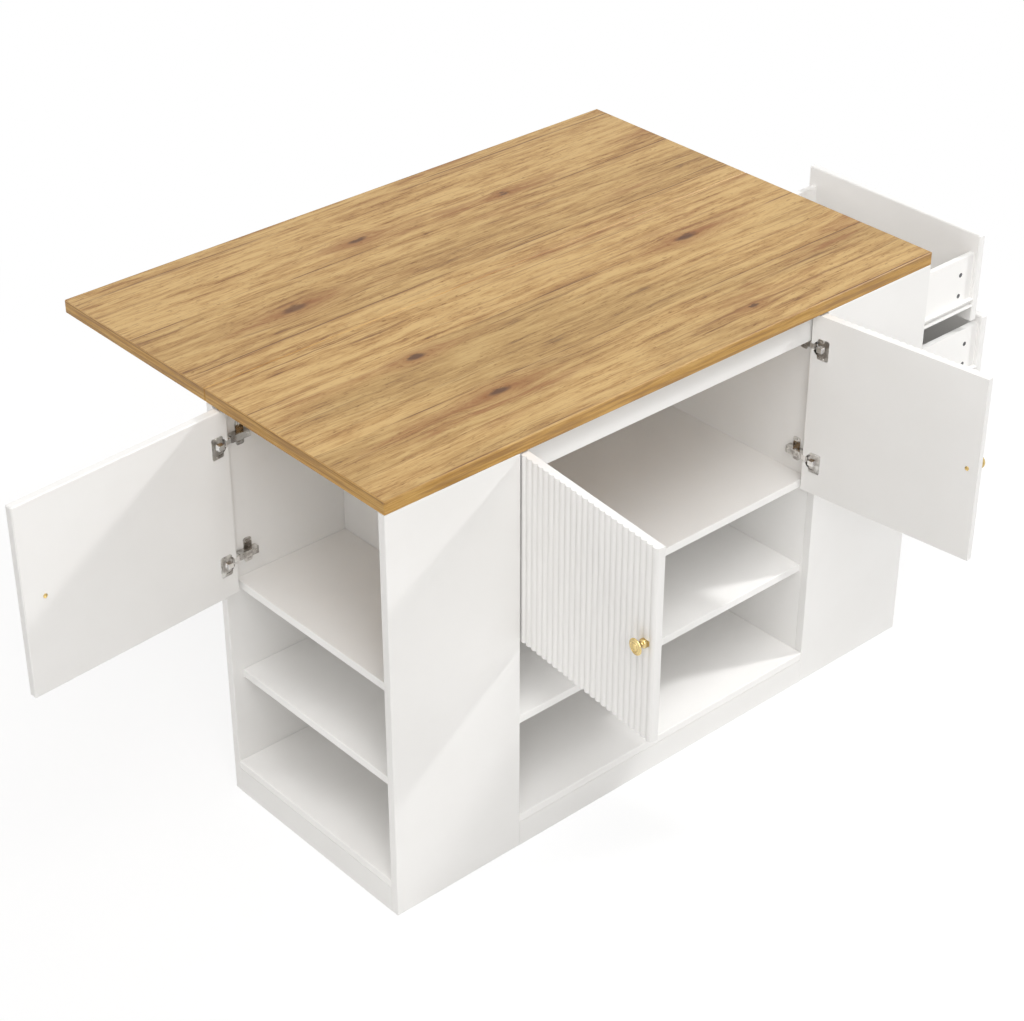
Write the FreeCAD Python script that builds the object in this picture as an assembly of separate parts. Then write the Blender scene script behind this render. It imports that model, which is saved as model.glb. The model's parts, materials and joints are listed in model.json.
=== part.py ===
import FreeCAD, Part
import math
import os

os.makedirs("parts", exist_ok=True)
Vec = FreeCAD.Vector
x_way = Vec(1, 0, 0)
y_way = Vec(0, 1, 0)
z_way = Vec(0, 0, 1)
centre = Vec(0, 0, 0)

# Millimetres. The origin is on the floor under the middle of the cabinet:
# +X runs along the island to the drawers, +Y to the drop leaf, +Z up.

# Worktop and drop leaf
island_length = 1400.0
island_height = 910.0
top_thickness = 28.0
top_overhang = 2.0
top_ease = 1.5
seam_gap = 1.0
leaf_depth = 459.0

# Cabinet
cabinet_depth = 508.0
board = 18.0
board_ease = 1.0
end_panel_width = 303.0
plinth_height = 57.0
mid_shelf_height = 270.0
upper_shelf_height = 482.0
shelf_setback = 24.0
back_recess = 45.0
rail_height = 66.0

# Doors
door_gap = 3.0
door_thickness = 18.0
door_ease = 2.0
flute_height = 4.0
flute_count = 25
left_door_angle = 95.4
right_door_angle = 96.5
side_door_angle = 86.0

# Cup hinges of the doors
front_pivot = 10.0
side_pivot = 8.0
hinge_inset = 71.0
cup_radius = 17.5
cup_edge = 5.0
cup_wall = 1.2
cup_floor = 0.8
cup_drop = 5.0
cup_clearance = 0.05
flange_width = 26.0
flange_height = 44.0
flange_thickness = 1.5
flange_round = 4.0
flange_neck_gap = 1.0
eye_radius = 3.2
hinge_pin_radius = 1.5
pin_clearance = 0.05
neck_back = 2.0
neck_front = 5.0
neck_height = 12.0
neck_room = 0.75
arm_start = 26.0
arm_length = 44.0
arm_height = 14.0
arm_round = 2.5
plate_start = 45.0
plate_length = 18.0
plate_height = 52.0
plate_thickness = 2.0
plate_round = 5.0

# Knobs
knob_reach = 24.0
knob_radius = 16.0
knob_rim = 3.0
knob_crown = 3.0
knob_crown_radius = 10.0
knob_waist_radius = 5.0
knob_waist_reach = 10.0
knob_base_radius = 9.0
knob_base_reach = 4.0
knob_base_ease = 2.0
knob_screw_radius = 2.0
knob_head_radius = 4.5
knob_head_height = 2.2
knob_head_crown_radius = 2.5
knob_clearance = 0.2
knob_edge = 24.0
side_knob_edge = 45.0

# Drawers
drawer_wall = 12.0
top_drawer_lift = 38.0
top_drawer_headroom = 42.0
lower_drawer_lift = 64.0
lower_drawer_headroom = 16.0
drawer_rear_room = 5.0
drawer_bottom_thickness = 4.0
drawer_bottom_lift = 10.0
top_drawer_hold = 64.0
lower_drawer_hold = 24.0
cam_radius = 5.0
cam_depth = 4.0
cam_setback = 38.0
cam_height_shares = (0.27, 0.68)

# Drawer runners
runner_room = 12.5
runner_height = 18.0
runner_drop = 1.0
runner_gap = 0.4
runner_wall_gap = 2.0
runner_web = 2.0
runner_lip = 3.0
channel_thickness = 1.5
channel_depth = 10.0
channel_rear_gap = 5.0

# Leaf hinges
leaf_hinge_length = 60.0
leaf_hinge_spread = 220.0
flap_width = 32.0
flap_thickness = 2.0
knuckle_radius = 3.0
knuckle_gap = 0.4
knuckle_count = 3
leaf_pin_radius = 1.5

# Folding leaf brackets
bracket_spread = 320.0
bracket_steel = 3.0
slot_drop = 12.0
arm_bar_start = 12.0
arm_bar_length = 430.0
arm_bar_height = 26.0
arm_bar_flange = 25.0
slot_width = 9.0
slot_start = 150.0
slot_end = 428.0
strut_rise = 170.0
strut_reach = 180.0
strut_width = 20.0
strut_thickness = 5.0
strut_side_gap = 1.0
strut_pin_radius = 4.0
strut_rivet_radius = 7.0
strut_rivet_height = 2.5
wall_plate_width = 50.0
wall_plate_height = 120.0
wall_ear_reach = 12.0

overrun = 5.0

# Places that follow from the sizes above
half_length = island_length / 2
half_depth = cabinet_depth / 2
carcass_top = island_height - top_thickness
opening_half = half_length - end_panel_width
bay_half = half_depth - board
recess_face = half_depth - back_recess
door_top = carcass_top - door_gap
door_height = door_top - upper_shelf_height
front_door_width = (2 * opening_half - 3 * door_gap) / 2
end_front_width = 2 * (bay_half - door_gap)
drawer_front_height = (door_height - door_gap) / 2
flute_pitch = front_door_width / flute_count
front_back_face = half_length - door_thickness
drawer_length = end_panel_width - board - door_thickness - drawer_rear_room
box_rear = front_back_face - drawer_length
top_drawer_out = drawer_length - top_drawer_hold
lower_drawer_out = drawer_length - lower_drawer_hold
box_half = bay_half - runner_room
seam_y = half_depth + top_overhang + seam_gap / 2
leaf_axis_z = carcass_top - knuckle_radius - knuckle_gap / 2
slot_line_z = leaf_axis_z - slot_drop
strut_pivot_y = seam_y - slot_drop
strut_pivot_z = slot_line_z - strut_rise
strut_length = math.hypot(strut_reach, strut_rise)


def keep(name, *solids):
    shape = solids[0] if len(solids) == 1 else Part.makeCompound(list(solids))
    shape.exportStep("parts/" + name + ".step")


def block(x, y, z, ease=0):
    shape = Part.makeBox(x[1] - x[0], y[1] - y[0], z[1] - z[0], Vec(x[0], y[0], z[0]))
    if ease:
        shape = shape.makeChamfer(ease, shape.Edges)
    return shape


def rod(radius, start, length, way):
    return Part.makeCylinder(radius, length, start, way)


def about(middle, size):
    return (middle - size / 2, middle + size / 2)


def fuse(first, *others):
    return first.fuse(list(others)).removeSplitter()


def round_upright(shape, radius, way):
    upright = math.cos(math.radians(1))
    edges = [edge for edge in shape.Edges if abs(edge.tangentAt(edge.FirstParameter).dot(way)) > upright]
    return shape.makeFillet(radius, edges)


# Worktop over the cabinet
keep("fixed_top", block((-half_length, half_length), (-half_depth, half_depth + top_overhang),
                        (carcass_top, island_height), top_ease))

# Front and back panels of the two end cupboards
end_spans = {"left": (-half_length, -opening_half), "right": (opening_half, half_length)}
for side, span in end_spans.items():
    keep("front_" + side + "_panel", block(span, (-half_depth, -bay_half), (0, carcass_top), board_ease))
    keep("back_" + side + "_panel", block(span, (bay_half, half_depth), (0, carcass_top), board_ease))

# Dividers between the end cupboards and the middle, and the recessed back of the middle
for side, way in (("left", -1), ("right", 1)):
    faces = sorted((way * opening_half, way * (opening_half + board)))
    keep(side + "_divider", block(faces, (-bay_half, bay_half), (0, carcass_top)))
back_front = recess_face - board
keep("centre_back_panel", block((-opening_half, opening_half), (back_front, recess_face), (0, carcass_top)))

# Bottom boards and shelves of the three bays
bay_depths = {"left": (-bay_half, bay_half), "centre": (-half_depth, back_front),
              "right": (-bay_half, bay_half)}
bay_widths = {"left": (-half_length, -opening_half - board), "centre": (-opening_half, opening_half),
              "right": (opening_half + board, half_length)}
floor_top = plinth_height + board
for bay in ("left", "centre", "right"):
    keep(bay + "_bottom_board",
         block(bay_widths[bay], bay_depths[bay], (plinth_height, floor_top), board_ease))
shelf_depths = dict(bay_depths, centre=(-half_depth + shelf_setback, back_front))
shelf_widths = {"left": (-half_length + shelf_setback, -opening_half - board), "centre": bay_widths["centre"],
                "right": (opening_half + board, half_length - shelf_setback)}
for bay in ("left", "centre", "right"):
    for level, height in (("mid", mid_shelf_height), ("upper", upper_shelf_height)):
        keep(bay + "_" + level + "_shelf",
             block(shelf_widths[bay], shelf_depths[bay], (height, height + board), board_ease))

# Rail across the middle opening, under the worktop
rail_front = -half_depth + shelf_setback
keep("centre_top_rail", block((-opening_half, opening_half), (rail_front, rail_front + board),
                              (carcass_top - rail_height, carcass_top), board_ease))

# Plinth: a board under each open side and a stringer under the long middle floor
keep("left_kickboard", block((-half_length, -half_length + board), (-bay_half, bay_half), (0, plinth_height)))
keep("right_kickboard", block((half_length - board, half_length), (-bay_half, bay_half), (0, plinth_height)))
keep("front_kickboard", block((-opening_half, opening_half), (-half_depth, -bay_half), (0, plinth_height)))
keep("base_stringer", block(about(0, board), (-bay_half, back_front), (0, plinth_height)))

# Door parts are drawn closed: u along x from the hinge edge, v along y from the outer face
cup_u = cup_edge + cup_radius
neck_drop = cup_drop - cup_floor
hinge_levels = (upper_shelf_height + hinge_inset, door_top - hinge_inset)


def cup_bore(radius, floor, level):
    return rod(radius, Vec(cup_u, floor, level), door_thickness - floor, y_way)


def neck_room_box(pivot, level):
    return block((-overrun, cup_u), (pivot - neck_drop, door_thickness + overrun),
                 about(level, neck_height + 2 * neck_room))


def cut_for_hinges(panel, pivot):
    tools = []
    for level in hinge_levels:
        tools.append(cup_bore(cup_radius, pivot - cup_drop, level))
        tools.append(neck_room_box(pivot, level))
    return panel.cut(tools)


def hinge_cup(pivot, level):
    floor = pivot - cup_drop
    hollow = cup_bore(cup_radius - cup_wall, floor + cup_floor, level)
    cup = cup_bore(cup_radius - cup_clearance, floor, level).cut(hollow)
    cup = cup.cut(neck_room_box(pivot, level))
    flange_low = pivot + neck_front + flange_neck_gap
    flange = block((flange_low, flange_low + flange_width),
                   (door_thickness, door_thickness + flange_thickness), about(level, flange_height))
    flange = round_upright(flange, flange_round, y_way)
    mouth = rod(cup_radius - cup_wall, Vec(cup_u, door_thickness, level), flange_thickness, y_way)
    pin = rod(hinge_pin_radius, Vec(pivot, pivot, level - cup_radius), 2 * cup_radius, z_way)
    pin = pin.common(cup_bore(cup_radius - cup_clearance, floor, level))
    return fuse(cup, flange.cut(mouth), pin)


def hinge_arm(pivot, level):
    wall = -door_gap
    face = wall + plate_thickness
    plate = block((wall, face), (plate_start, plate_start + plate_length), about(level, plate_height))
    plate = round_upright(plate, plate_round, x_way)
    body = block((face, pivot + neck_front), (arm_start, arm_start + arm_length),
                 about(level, arm_height))
    body = round_upright(body, arm_round, z_way)
    neck = block((pivot - neck_back, pivot + neck_front), (pivot, arm_start + arm_round),
                 about(level, neck_height))
    eye = rod(eye_radius, Vec(pivot, pivot, level - neck_height / 2), neck_height, z_way)
    hole = rod(hinge_pin_radius + pin_clearance, Vec(pivot, pivot, level - neck_height),
               2 * neck_height, z_way)
    return fuse(plate, body, neck, eye).cut(hole)


def knob_with_screw(seat):
    # Half section turned about y, as (radius, depth): the screw's domed head, its shank through the door,
    # the base, the waist and the disc head. seat is how far the base sinks into the outer face.
    back = door_thickness + knob_head_height
    disc = knob_reach - knob_crown - knob_rim
    section = [(0, back), (knob_head_crown_radius, back), (knob_head_radius, door_thickness),
               (knob_screw_radius, door_thickness), (knob_screw_radius, seat), (knob_base_radius, seat),
               (knob_base_radius, -knob_base_reach),
               (knob_base_radius - knob_base_ease, -knob_base_reach - knob_base_ease),
               (knob_waist_radius, -knob_waist_reach), (knob_waist_radius + knob_rim, -disc + knob_rim / 2),
               (knob_radius, -disc), (knob_radius, -disc - knob_rim),
               (knob_crown_radius, -knob_reach), (0, -knob_reach)]
    corners = [Vec(radius, depth, 0) for radius, depth in section]
    return Part.Face(Part.makePolygon(corners + corners[:1])).revolve(centre, y_way, 360)


def knob_hole(seat):
    hole = rod(knob_screw_radius + knob_clearance, Vec(0, -overrun, 0), door_thickness + 2 * overrun, y_way)
    spot = rod(knob_base_radius + knob_clearance, Vec(0, -overrun, 0), overrun + seat, y_way)
    return hole.fuse(spot) if seat else hole


def moved(shape, x, y, z):
    return shape.translated(Vec(x, y, z))


def fluted_panel():
    # One wire: a row of arcs across the outer face, straight edges and a flat inner face
    edges = []
    for rib in range(flute_count):
        start = Vec(rib * flute_pitch, flute_height, 0)
        crest = Vec((rib + 0.5) * flute_pitch, 0, 0)
        end = Vec((rib + 1) * flute_pitch, flute_height, 0)
        edges.append(Part.Arc(start, crest, end).toShape())
    corners = [Vec(front_door_width, flute_height, 0), Vec(front_door_width, door_thickness, 0),
               Vec(0, door_thickness, 0), Vec(0, flute_height, 0)]
    for first, second in zip(corners, corners[1:]):
        edges.append(Part.LineSegment(first, second).toShape())
    face = Part.Face(Part.Wire(edges))
    return moved(face.extrude(Vec(0, 0, door_height)), 0, 0, upper_shelf_height)


def plain_panel(width, low, high):
    return block((0, width), (0, door_thickness), (low, high), door_ease)


def hang_front(shape, way):
    placed = shape if way < 0 else shape.mirror(centre, x_way)
    return moved(placed, way * (opening_half - door_gap), -half_depth, 0)


def hang_side(shape):
    turned = shape.rotated(centre, z_way, -90)
    return moved(turned, -half_length, bay_half - door_gap, 0)


def swing(shape, pivot, angle):
    return shape.rotated(pivot, z_way, angle)


door_middle = (upper_shelf_height + door_top) / 2
knob_rib = math.floor((front_door_width - knob_edge) / flute_pitch)
knob_u = (knob_rib + 0.5) * flute_pitch

# Fluted pair of doors in the middle
for side, way, opened in (("left", -1, -left_door_angle), ("right", 1, right_door_angle)):
    pivot = Vec(way * (opening_half - door_gap - front_pivot), -half_depth + front_pivot, 0)
    panel = cut_for_hinges(fluted_panel(), front_pivot)
    panel = panel.cut(moved(knob_hole(flute_height), knob_u, 0, door_middle))
    knob = moved(knob_with_screw(flute_height), knob_u, 0, door_middle)
    cups = [hinge_cup(front_pivot, level) for level in hinge_levels]
    arms = [hinge_arm(front_pivot, level) for level in hinge_levels]
    keep(side + "_door_panel", swing(hang_front(panel, way), pivot, opened))
    keep(side + "_door_knob", swing(hang_front(knob, way), pivot, opened))
    keep(side + "_door_cups", *[swing(hang_front(cup, way), pivot, opened) for cup in cups])
    keep(side + "_door_hinge_arms", *[hang_front(arm, way) for arm in arms])

# Plain door of the left end
side_pivot_place = Vec(-half_length + side_pivot, bay_half - door_gap - side_pivot, 0)
side_panel = cut_for_hinges(plain_panel(end_front_width, upper_shelf_height, door_top), side_pivot)
side_knob_u = end_front_width - side_knob_edge
side_panel = side_panel.cut(moved(knob_hole(0), side_knob_u, 0, door_middle))
side_knob = moved(knob_with_screw(0), side_knob_u, 0, door_middle)
keep("side_door_panel", swing(hang_side(side_panel), side_pivot_place, -side_door_angle))
keep("side_door_knob", swing(hang_side(side_knob), side_pivot_place, -side_door_angle))
keep("side_door_cups", *[swing(hang_side(hinge_cup(side_pivot, level)), side_pivot_place, -side_door_angle)
                         for level in hinge_levels])
keep("side_door_hinge_arms", *[hang_side(hinge_arm(side_pivot, level)) for level in hinge_levels])


def drawer_runner(floor, way):
    # Rail on the outer face of a drawer side: a web on the board and a lip that slides in the channel
    outer = bay_half - runner_wall_gap
    inner = box_half
    low = floor - runner_drop
    web = block((0, drawer_length), (inner, inner + runner_web), (low, low + runner_height))
    foot = block((0, drawer_length), (inner, outer), (low, low + runner_lip))
    head = block((0, drawer_length), (inner, outer), (low + runner_height - runner_lip, low + runner_height))
    runner = fuse(web, foot, head)
    return runner if way > 0 else runner.mirror(centre, y_way)


def cabinet_channel(floor, way):
    low = floor - runner_drop - runner_gap - channel_thickness
    high = floor - runner_drop + runner_height + runner_gap + channel_thickness
    reach = (bay_half - channel_depth, bay_half)
    length = (box_rear + channel_rear_gap, half_length - shelf_setback)
    back = block(length, (bay_half - channel_thickness, bay_half), (low, high))
    lower = block(length, reach, (low, low + channel_thickness))
    upper = block(length, reach, (high - channel_thickness, high))
    channel = fuse(back, lower, upper)
    return channel if way > 0 else channel.mirror(centre, y_way)


# Two drawers of the right end, drawn pulled out
channels = []
for name, front_low, lift, headroom, out in (
        ("top_drawer", door_top - drawer_front_height, top_drawer_lift, top_drawer_headroom, top_drawer_out),
        ("lower_drawer", upper_shelf_height, lower_drawer_lift, lower_drawer_headroom, lower_drawer_out)):
    floor = front_low + lift
    ceiling = front_low + drawer_front_height - headroom
    middle = front_low + drawer_front_height / 2
    front = block((front_back_face, half_length), about(0, end_front_width),
                  (front_low, front_low + drawer_front_height), door_ease)
    hole = knob_hole(0).rotated(centre, z_way, 90)
    knob = knob_with_screw(0).rotated(centre, z_way, 90)
    keep(name + "_front", moved(front.cut(moved(hole, half_length, 0, middle)), out, 0, 0))
    keep(name + "_knob", moved(knob, half_length + out, 0, middle))
    cams = []
    for side, way in (("near", -1), ("far", 1)):
        depths = sorted((way * box_half, way * (box_half - drawer_wall)))
        wall = block((box_rear, front_back_face), depths, (floor, ceiling))
        for share in cam_height_shares:
            face = Vec(front_back_face - cam_setback, way * box_half, floor + share * (ceiling - floor))
            cam = rod(cam_radius, face, cam_depth, Vec(0, -way, 0))
            wall = wall.cut(cam)
            cams.append(moved(cam, out, 0, 0))
        keep(name + "_" + side + "_side", moved(wall, out, 0, 0))
    keep(name + "_cams", *cams)
    inner = (-box_half + drawer_wall, box_half - drawer_wall)
    keep(name + "_back", moved(block((box_rear, box_rear + drawer_wall), inner, (floor, ceiling)), out, 0, 0))
    tray = (floor + drawer_bottom_lift, floor + drawer_bottom_lift + drawer_bottom_thickness)
    keep(name + "_bottom", moved(block((box_rear + drawer_wall, front_back_face), inner, tray), out, 0, 0))
    keep(name + "_runners", *[moved(drawer_runner(floor, way), box_rear + out, 0, 0) for way in (-1, 1)])
    channels += [cabinet_channel(floor, way) for way in (-1, 1)]
keep("drawer_channels", *channels)

# Drop leaf, drawn raised
leaf_edge = seam_y + seam_gap / 2
keep("leaf_board", block((-half_length, half_length), (leaf_edge, leaf_edge + leaf_depth),
                         (carcass_top, island_height), top_ease))

# Flap hinges under the seam: knuckles on one pin, a flap under each board
knuckle_pitch = leaf_hinge_length / knuckle_count


def hinge_flap(middle, way, knuckles):
    clear = knuckle_radius + knuckle_gap
    flat = (carcass_top - flap_thickness, carcass_top)
    depths = sorted((seam_y + way * clear, seam_y + way * flap_width))
    pieces = [block(about(middle, leaf_hinge_length), depths, flat)]
    for number in knuckles:
        start = middle - leaf_hinge_length / 2 + number * knuckle_pitch
        span = (start + knuckle_gap / 2, start + knuckle_pitch - knuckle_gap / 2)
        bridge = sorted((seam_y, seam_y + way * (clear + flap_thickness)))
        pieces.append(block(span, bridge, flat))
        pieces.append(rod(knuckle_radius, Vec(span[0], seam_y, leaf_axis_z), span[1] - span[0], x_way))
    bore = rod(leaf_pin_radius + pin_clearance, Vec(middle - leaf_hinge_length, seam_y, leaf_axis_z),
               2 * leaf_hinge_length, x_way)
    return fuse(*pieces).cut(bore)


hinge_middles = (-leaf_hinge_spread, 0, leaf_hinge_spread)
keep("leaf_hinge_fixed_flaps", *[hinge_flap(middle, -1, (0, 2)) for middle in hinge_middles])
keep("leaf_hinge_moving_flaps", *[hinge_flap(middle, 1, (1,)) for middle in hinge_middles])
keep("leaf_hinge_pins", *[rod(leaf_pin_radius, Vec(middle - leaf_hinge_length / 2, seam_y, leaf_axis_z),
                              leaf_hinge_length, x_way) for middle in hinge_middles])

# Folding brackets, drawn for the right side of the island and mirrored to the left
web_face = bracket_spread
strut_high = web_face - strut_side_gap
strut_low = strut_high - strut_thickness
ear_high = strut_low - strut_side_gap / 2
ear_low = ear_high - bracket_steel


def leaf_arm():
    length = (seam_y + arm_bar_start, seam_y + arm_bar_start + arm_bar_length)
    web = block((web_face, web_face + bracket_steel), length, (carcass_top - arm_bar_height, carcass_top))
    flange = block((web_face, web_face + arm_bar_flange), length, (carcass_top - bracket_steel, carcass_top))
    slot_ends = (seam_y + slot_start, seam_y + slot_end)
    slot = block(about(web_face, 2 * overrun), slot_ends, about(slot_line_z, slot_width))
    ends = [rod(slot_width / 2, Vec(web_face - overrun, end, slot_line_z), 2 * overrun, x_way)
            for end in slot_ends]
    return fuse(web, flange).cut([slot] + ends)


def strut():
    # Straight bar with round ends, drawn along y and turned to its rest angle
    bar = block((strut_low, strut_high), (0, strut_length), about(0, strut_width))
    ends = [rod(strut_width / 2, Vec(strut_low, end, 0), strut_thickness, x_way) for end in (0, strut_length)]
    rivet = rod(strut_rivet_radius, Vec(strut_low - strut_rivet_height, strut_length, 0),
                strut_rivet_height, x_way)
    hole = rod(strut_pin_radius + pin_clearance, Vec(strut_low - overrun, 0, 0),
               strut_thickness + 2 * overrun, x_way)
    shape = fuse(bar, *ends, rivet).cut(hole)
    rest_angle = math.degrees(math.atan2(strut_rise, strut_reach))
    return moved(shape.rotated(centre, x_way, rest_angle), 0, strut_pivot_y, strut_pivot_z)


def wall_bracket():
    plate = block(about(ear_low, wall_plate_width), (recess_face, recess_face + bracket_steel),
                  about(strut_pivot_z, wall_plate_height))
    ear = block((ear_low, ear_high), (recess_face, strut_pivot_y), about(strut_pivot_z, 2 * wall_ear_reach))
    nose = rod(wall_ear_reach, Vec(ear_low, strut_pivot_y, strut_pivot_z), bracket_steel, x_way)
    head = rod(strut_rivet_radius, Vec(ear_low - strut_rivet_height, strut_pivot_y, strut_pivot_z),
               strut_rivet_height, x_way)
    pin = rod(strut_pin_radius, Vec(ear_low, strut_pivot_y, strut_pivot_z), strut_high - ear_low, x_way)
    return fuse(plate, ear, nose, head, pin)


def both_sides(shape):
    return (shape.mirror(centre, x_way), shape)


keep("leaf_bracket_arms", *both_sides(leaf_arm()))
keep("strut_wall_brackets", *both_sides(wall_bracket()))
left_strut, right_strut = both_sides(strut())
keep("left_strut", left_strut)
keep("right_strut", right_strut)

print("strut turns", 90 + math.degrees(math.atan2(strut_rise, strut_reach)), "degrees per 90 of the leaf")
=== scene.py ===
import json
import math
import bpy
import numpy as np
from mathutils import Matrix, Vector


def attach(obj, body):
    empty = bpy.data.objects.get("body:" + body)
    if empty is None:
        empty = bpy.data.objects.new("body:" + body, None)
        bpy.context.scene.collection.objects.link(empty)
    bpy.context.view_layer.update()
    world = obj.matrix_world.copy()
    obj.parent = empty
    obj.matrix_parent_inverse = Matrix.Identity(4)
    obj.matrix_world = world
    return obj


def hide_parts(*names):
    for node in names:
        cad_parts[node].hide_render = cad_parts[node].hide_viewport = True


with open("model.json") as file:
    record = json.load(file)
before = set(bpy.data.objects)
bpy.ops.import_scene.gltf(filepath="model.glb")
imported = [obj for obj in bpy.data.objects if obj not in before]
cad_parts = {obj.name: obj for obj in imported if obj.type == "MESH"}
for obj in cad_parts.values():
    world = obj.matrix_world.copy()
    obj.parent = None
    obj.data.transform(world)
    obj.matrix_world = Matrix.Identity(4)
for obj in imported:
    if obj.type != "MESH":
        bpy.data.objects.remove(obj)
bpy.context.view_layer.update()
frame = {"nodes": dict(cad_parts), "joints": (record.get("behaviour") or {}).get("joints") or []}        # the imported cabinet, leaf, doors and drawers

nodes = frame["nodes"]
joints = {joint["name"]: joint for joint in frame["joints"]}
scene = bpy.context.scene


# Node tree helpers

def setInputs(tree, node, values):
    # a socket is linked, and any other value is set on the input itself
    for name, value in values.items():
        if isinstance(value, bpy.types.NodeSocket):
            tree.links.new(value, node.inputs[name])
        else:
            node.inputs[name].default_value = value


def place(tree, kind, values=None, **settings):
    node = tree.nodes.new(kind)
    for name, value in settings.items():
        setattr(node, name, value)
    setInputs(tree, node, values or {})
    return node


def calc(tree, operation, *values):
    return place(tree, "ShaderNodeMath", dict(enumerate(values)), operation=operation).outputs[0]


def times(tree, first, second):
    return calc(tree, "MULTIPLY", first, second)


def timesPlus(tree, value, factor, added):
    return calc(tree, "MULTIPLY_ADD", value, factor, added)


def vectorCalc(tree, operation, *values):
    return place(tree, "ShaderNodeVectorMath", dict(enumerate(values)), operation=operation).outputs[0]


def split(tree, vector):
    return place(tree, "ShaderNodeSeparateXYZ", {0: vector}).outputs


def join(tree, x=0.0, y=0.0, z=0.0):
    return place(tree, "ShaderNodeCombineXYZ", {0: x, 1: y, 2: z}).outputs[0]


def mixColour(tree, mask, base, other):
    # a Mix node has its two colours at inputs 6 and 7, and their mix at output 2
    return place(tree, "ShaderNodeMix", {0: mask, 6: base, 7: other}, data_type="RGBA").outputs[2]


def mixValue(tree, mask, base, other):
    # its two plain values are at inputs 2 and 3
    return place(tree, "ShaderNodeMix", {0: mask, 2: base, 3: other}).outputs[0]


def fade(tree, value, low, high, start=0.0, end=1.0):
    # smooth step from start to end while the value goes from low to high
    sockets = {"Value": value, "From Min": low, "From Max": high, "To Min": start, "To Max": end}
    return place(tree, "ShaderNodeMapRange", sockets, interpolation_type="SMOOTHSTEP").outputs[0]


def fadeOut(tree, value, low, high, strength=1.0):
    return fade(tree, value, low, high, strength, 0.0)


def noise(tree, vector, stretch, detail=2.0, roughness=0.5, shift=None):
    # stretch is the number of blotches in a metre along x, y and z, and shift sets like layers apart
    if shift:
        vector = vectorCalc(tree, "ADD", vector, shift)
    stretched = vectorCalc(tree, "MULTIPLY", vector, stretch)
    sockets = {"Vector": stretched, "Scale": 1.0, "Detail": detail, "Roughness": roughness}
    return place(tree, "ShaderNodeTexNoise", sockets).outputs[0]


def offCentre(tree, value):
    # noise lies about one half
    return calc(tree, "SUBTRACT", value, 0.5)


def addBump(tree, strength, distance, height):
    values = {"Strength": strength, "Distance": distance, "Height": height}
    return place(tree, "ShaderNodeBump", values).outputs[0]


def newGroup(name, inputs, outputs):
    tree = bpy.data.node_groups.new(name, "ShaderNodeTree")
    for label, kind, value in inputs:
        socket = tree.interface.new_socket(label, in_out="INPUT", socket_type="NodeSocket" + kind)
        socket.default_value = value
    for label, kind in outputs:
        tree.interface.new_socket(label, in_out="OUTPUT", socket_type="NodeSocket" + kind)
    return tree, tree.nodes.new("NodeGroupInput").outputs, tree.nodes.new("NodeGroupOutput")


def useGroup(tree, group, values):
    return place(tree, "ShaderNodeGroup", values, node_tree=group).outputs


def newMaterial(name):
    material = bpy.data.materials.new(name)
    material.use_nodes = True
    tree = material.node_tree
    coords = tree.nodes.new("ShaderNodeTexCoord").outputs
    return material, tree, tree.nodes["Principled BSDF"], coords


# Oak: broad planks with their own tone, growth figure, streaks, fibres, pores, knots and worn seams

knots = {
    "colour": (0.070, 0.028, 0.012, 1),
    "perMetre": (1.9, 4.4, 0.0),
    "randomness": 0.85,
    "presentRange": (0.28, 0.30),
    "sizes": (0.0040, 0.0125),
    "drawn": 2.9,             # length of a knot against its width
    "ragged": dict(stretch=(30, 80, 80), detail=4.0, roughness=0.65),
    "raggedAside": 0.016,
    "raggedEdge": 0.012,
    "coreRange": (0.45, 1.25),
    "coreStrength": 0.85,
    "haloRange": (0.6, 5.0),
    "haloStrength": 0.5,
    "tailReach": 0.30,
    "tailHalfWidth": 0.022,
    "tailPresentRange": (0.1, 0.6),
    "tailRange": (0.40, 0.58),
    "tailStrengths": (0.05, 0.95),
    "bend": -0.75,            # how far the grain gives way round a knot
    "depth": -0.6,
}

planks = {
    "width": 0.187,
    "shift": 0.065,
    "seed": 3.0,
    "slide": 9.0,             # how far the grain of one plank may lie along that of the next
    "depthStep": 1.7,
    "seamColour": (0.13, 0.060, 0.024, 1),
    "seamHalfWidth": 0.0014,
    "seamEdges": (0.4, 1.6),
    "seamDepth": -1.2,
    "worn": dict(stretch=(2.6, 1.37, 1), detail=3.0),
    "wornRange": (0.42, 0.56),
    "wornStrength": 0.9,
    "shadeReach": 0.016,
    "shadeStrength": 0.3,
}

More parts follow.
